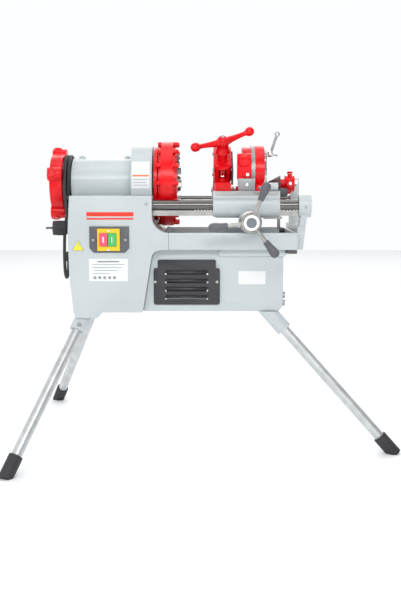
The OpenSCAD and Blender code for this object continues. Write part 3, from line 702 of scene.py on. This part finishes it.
def panel_details():
    """Blank plates, plain stripes in place of a name, and the yellow triangle."""
    sunk, plate, lines, outline = PANEL_Y + 0.2, PANEL_Y - 0.35, PANEL_Y - 0.55, PANEL_Y - 0.75
    bm = bmesh.new()
    prism(bm, round_box(-291, 429, -196, 484, 2), plate, sunk)
    add("rating_plate_blank", bm, "white_label", "frame")
    bm = bmesh.new()
    rows = ((-270, -217, 1.8), (-283, -204, 0.7), (-283, -210, 0.7), (-279, -222, 0.7), (-283, -240, 0.7))
    for k, (x0, x1, half) in enumerate(rows):
        z = 477 - 7.2 * k
        prism(bm, round_box(x0, z - half, x1, z + half, 0.6, 2), lines, PANEL_Y)
    dots, dot_radius = 5, 4
    for k in range(dots):
        x = -277 + 12 * k
        prism(bm, [(x + dot_radius * math.cos(a), 437.5 + dot_radius * math.sin(a)) for a in steps_round(20)],
              lines, PANEL_Y)
    add("rating_plate_lines", bm, "grey_print", "frame")
    bm = bmesh.new()
    for z0, z1 in ((587.5, 597.5), (579.5, 583.5)):
        prism(bm, round_box(-296, z0, -181, z1, 1.6, 3), PANEL_Y - PRINT, PANEL_Y)
    add("front_stripes", bm, "red_print", "frame")
    bm = bmesh.new()
    corners = [(-331.5, 503.6), (-303.0, 503.6), (-317.3, 529.5)]
    prism(bm, corners, PANEL_Y - PRINT, sunk)
    add("hazard_triangle", bm, "yellow_print", "frame")
    bm = bmesh.new()
    line_width = 0.9
    for (ax, az), (bx, bz) in zip(corners, corners[1:] + corners[:1]):
        length = math.dist((ax, az), (bx, bz))
        nx, nz = -(bz - az) / length * line_width, (bx - ax) / length * line_width
        prism(bm, [(ax, az), (bx, bz), (bx + nx, bz + nz), (ax + nx, az + nz)], outline, PANEL_Y - 0.3)
    prism(bm, [(-318.1, 520), (-316.5, 520), (-316.9, 511.5), (-317.7, 511.5)], outline, PANEL_Y - 0.3)
    prism(bm, round_box(-318.2, 507.2, -316.4, 509.0, 0.8, 3), outline, PANEL_Y - 0.3)
    add("hazard_outline", bm, "grey_print", "frame")
    bm = bmesh.new()
    prism(bm, round_box(76.2, 418.8, 143.1, 451.7, 1.6), -148.4, -147.9)
    add("box_label_blank", bm, "white_label", "frame")


panel_details()


def curved_patch(name, x0, x1, a0, a1, lift, finish, steps=12):
    """Patch on the gear case from x0 to x1 in millimetres and from a0 to a1 in degrees above the spindle."""
    case_radius, sunk = 100, -0.2
    rows = []
    bm = bmesh.new()
    for i in range(steps + 1):
        a = math.radians(a0 + (a1 - a0) * i / steps)
        rows.append([[bm.verts.new((x * MM, -r * MM * math.cos(a), AXIS_Z + r * MM * math.sin(a)))
                      for r in (case_radius + sunk, case_radius + lift)] for x in (x0, x1)])
    for low, high in zip(rows, rows[1:]):
        for k in (0, 1):
            bm.faces.new((low[0][k], low[1][k], high[1][k], high[0][k]))
            bm.faces.new((low[k][0], low[k][1], high[k][1], high[k][0]))
    for left, right in (rows[0], rows[-1]):
        bm.faces.new((left[0], left[1], right[1], right[0]))
    add(name, bm, finish, "frame")


def curved_label():
    """Blank notice round the front of the gear case: white, with an orange bar and three grey lines."""
    curved_patch("gear_case_label", -190, -146, -7, 33, 0.3, "white_label")
    curved_patch("gear_case_label_bar", -189, -147, 10, 12.4, PRINT, "orange_print")
    for k, x1 in enumerate((-150, -154, -150)):
        curved_patch(f"gear_case_label_line_{k + 1}", -186, x1, 5.2 - 4 * k, 6.0 - 4 * k, PRINT, "grey_print")


curved_label()


def switch_details():
    """White guide marks on the switch's face, and a plain mark on each button."""
    face_front, button_front = PANEL_Y - 9.5, PANEL_Y - 13.5
    thick = 0.9
    bm = bmesh.new()
    for z, tip in ((507.6, -4.0), (551.0, 4.0)):
        prism(bm, [(-246.5, z), (-237.5, z), (-242, z + tip)], face_front, face_front + thick)
    add("switch_marks", bm, "white_label", "frame")
    for name, x0, x1, r, body in (("off_mark", -256.0, -252.5, 1.6, "off_button"),
                                  ("on_mark", -234.2, -232.2, 0.9, "on_button")):
        bm = bmesh.new()
        prism(bm, round_box(x0, 524, x1, 538, r), button_front, button_front + thick)
        add(name, bm, "white_label", body)


switch_details()


def louvres():
    """Pressed lips over the slots of the front cover with their bright ends, and the guard behind them."""
    x_ends = (-104, -1)
    slots = [386 + 20.7 * i for i in range(4)]
    steps = 8
    bm = bmesh.new()
    for z in slots:
        rows = []
        for k in range(steps + 1):
            a = math.radians(90 * k / steps)
            y, h = -152 - 5.2 * math.sin(a), z - 1.0 + 6.5 * math.cos(a)
            rows.append([bm.verts.new((x * MM, y * MM, h * MM)) for x in x_ends])
        for low, high in zip(rows, rows[1:]):
            bm.faces.new((low[0], low[1], high[1], high[0]))
    lips = add("louvre_lips", bm, "black_sheet", "frame")
    lips.modifiers.new("sheet", "SOLIDIFY").thickness = 1.0 * MM
    applied(lips)
    bm = bmesh.new()
    for z in slots:
        for x in x_ends:
            lathe(bm, [(0, -4.0), (1.6, -4.0), (2.4, -1.2), (2.0, 0), (0, 0)], FORWARD,
                  (x * MM, -0.153, (z - 3.4) * MM), 16)
    add("louvre_ends", bm, "bright_steel", "frame")
    bm = bmesh.new()
    block(bm, (-112, -144, 388), (8, -142.5, 460), 0.5)
    add("fan_guard", bm, "black_sheet", "frame")


louvres()


def rail_details():
    """White squares along the underside of the front rail, painted highlights on the rack's teeth."""
    pitch, half, fall = 7.854, 2.0, math.radians(-47)
    rail_radius = 0.01502
    y, z = -0.125 - rail_radius * math.cos(fall), 0.612 + rail_radius * math.sin(fall)
    bm = bmesh.new()
    for i in range(-17, 16):
        at = Vector(((102.2 + pitch * i) * MM, y, z))
        place = Matrix.Translation(at) @ Matrix.Rotation(-fall, 4, "X")
        block(bm, (-half, -0.25, -half), (half, 0.5, half), 0.15, place)
    # white label colour used as painted highlights on the rack's teeth
    add("rack_teeth_painted_highlights", bm, "white_label", "frame")


rail_details()


# ---------------------------------------------------------------- legs and plug
def legs_and_boots():
    """Ribbed rubber boots, and set screws in the leg sockets."""
    ribs = ((44.6, 15.4, 1.6, 10), (34, 16.2, 0.95, 8), (28, 16.2, 0.95, 8), (22, 16.2, 0.95, 8))
    for name, foot, top, side in (("front_left", (-459.3, -382.3, 8), (-312.6, -148, 330), FORWARD),
                                  ("rear_left", (-459.3, 382.3, 8), (-312.6, 148, 330), (0, 1, 0)),
                                  ("right", (458.08, -191, 8), (169.5, -140, 330), None)):
        up = (Vector(top) - Vector(foot)).normalized()
        side = Vector(side) if side else up.cross(Vector(UP)).normalized()
        softened("boot_" + name, 1.4)
        bm = bmesh.new()
        for height, radius, thick, sides in ribs:
            torus(bm, radius, thick, up, (Vector(foot) + up * height) * MM, 48, sides)
        add(f"boot_{name}_ribs", bm, "rubber", "frame")
        bm = bmesh.new()
        out = (side - up * side.dot(up)).normalized()
        lathe(bm, [(0, 17), (5.6, 17), (5.6, 23), (4.8, 24), (0, 24)], out, (Vector(top) - up * 24) * MM, 6)
        add(f"socket_screw_{name}", bm, "steel", "frame")


legs_and_boots()


def plug_details():
    """Moulded plug with grip ribs, tapered strain relief and two pins."""
    at = Vector((-0.3553, -0.100, 0.556))
    ribs, relief_rings = 14, 5
    bm = bmesh.new()
    lathe(bm, [(0, -7.6), (9, -7.6), (12, -5), (15.6, -2), (17.6, 2), (17.9, 8), (17.9, 26), (17.0, 28.5),
               (16.4, 30.4), (16.4, 31.6), (0, 31.6)], LEFT, at, 48)
    for a in steps_round(ribs):
        out = Vector((0, math.cos(a), math.sin(a)))
        block(bm, (-1.3, -1.3, 6), (1.3, 1.3, 24), 0.4, facing(LEFT, at + out * 0.0175))
    for k in range(relief_rings):
        r = 7.6 - 0.5 * k
        lathe(bm, [(0, 0), (r, 0), (r - 0.2, 2.6), (5.4, 3.2), (5.4, 3.8), (0, 3.8)], UP,
              (-0.353, -0.100, (562 + 3.8 * k) * MM), 28)
    add("plug_moulding", bm, "rubber", "frame")
    bm = bmesh.new()
    for y in (-0.1095, -0.0905):
        lathe(bm, [(0, 0), (2.4, 0), (2.4, 15.6), (1.9, 16.6), (0.9, 17), (0, 17)], LEFT,
              (-0.3876, y, 0.556), 20)
    add("plug_pins", bm, "bright_steel", "frame")


plug_details()


def cord_tie():
    """Strap that holds the coil and the hanging lead together."""
    steps, half_width, half_height, length, inside = 32, 9.6, 10.4, 4, 0.9
    a = math.radians(28)
    out = Vector((0, -math.cos(a), -math.sin(a)))
    at = Vector((-0.3572, 0, AXIS_Z)) + out * 0.0668
    place = facing(Vector((0, -math.sin(a), math.cos(a))), at)
    across = place.to_3x3().inverted() @ Vector(RIGHT)
    beside = across.cross(Vector(UP))
    bm = bmesh.new()
    rows = []
    for b in steps_round(steps):
        x = half_width * math.copysign(abs(math.cos(b)) ** 0.6, math.cos(b))
        y = half_height * math.copysign(abs(math.sin(b)) ** 0.6, math.sin(b))
        spot = (across * x + beside * y) * MM
        rows.append([bm.verts.new(place @ (p + Vector((0, 0, z * MM)))) for p, z in
                     ((spot, -length), (spot, length), (spot * inside, length), (spot * inside, -length))])
    tube_faces(bm, rows, True)
    add("cord_tie", bm, "dark_plastic", "frame")


cord_tie()


# ---------------------------------------------------------------- stage
FLOOR_SIZE = 14
LIGHTS_AIM = Vector((0, 0, 0.55))
LIGHTS = (                      # name, place, size and power; the sweep lights the floor behind
    ("strip", (0.0, -2.5, 2.0), (3.4, 0.55), 46),
    ("top", (0.1, -0.3, 2.9), (2.4, 1.6), 17),
    ("left", (-2.6, -1.0, 1.4), (1.2, 1.6), 14),
    ("low", (0.4, -2.9, 0.5), (2.6, 0.7), 9),
    ("back", (0.5, 2.5, 1.7), (2.4, 1.2), 14),
    ("sweep", (0, 4.4, 3.6), (9, 5), 140))


def make_world():
    """Pale surroundings, dimmer in front of the machine than behind it."""
    world = bpy.data.worlds.new("studio")
    bpy.context.scene.world = world
    world.use_nodes = True
    tree = world.node_tree
    place = tree.nodes.new("ShaderNodeTexCoord")
    split = tree.nodes.new("ShaderNodeSeparateXYZ")
    shade = tree.nodes.new("ShaderNodeMapRange")
    for socket, value in (("From Min", -0.3), ("From Max", 0.6), ("To Min", 0.30), ("To Max", 1.0)):
        shade.inputs[socket].default_value = value
    tree.links.new(place.outputs["Generated"], split.inputs["Vector"])
    tree.links.new(split.outputs["Y"], shade.inputs["Value"])
    background = tree.nodes["Background"]
    tree.links.new(shade.outputs["Result"], background.inputs["Strength"])
    background.inputs["Color"].default_value = (0.98, 0.99, 1.0, 1)


def make_lights():
    """Soft rectangular lights; all but the sweep, which points down, look at the machine."""
    for name, spot, size, power in LIGHTS:
        data = bpy.data.lights.new(name, "AREA")
        data.energy = power
        data.shape = "RECTANGLE"
        data.size, data.size_y = size
        lamp = bpy.data.objects.new(name, data)
        lamp.location = spot
        if name != "sweep":
            lamp.rotation_euler = (LIGHTS_AIM - Vector(spot)).to_track_quat("-Z", "Y").to_euler()
        bpy.context.scene.collection.objects.link(lamp)


bpy.ops.mesh.primitive_plane_add(size=1, location=(0, 0, 0))
floor = bpy.context.object
floor.name = "floor"
floor.scale = (FLOOR_SIZE, FLOOR_SIZE, 1)
floor.data.materials.append(surface("pale_floor", (0.93, 0.935, 0.94), 0.6, vary=0.02, patch=1.5,
                                    grain=60, bump=0.02))
make_world()
make_lights()
bpy.context.scene.view_settings.view_transform = "Standard"
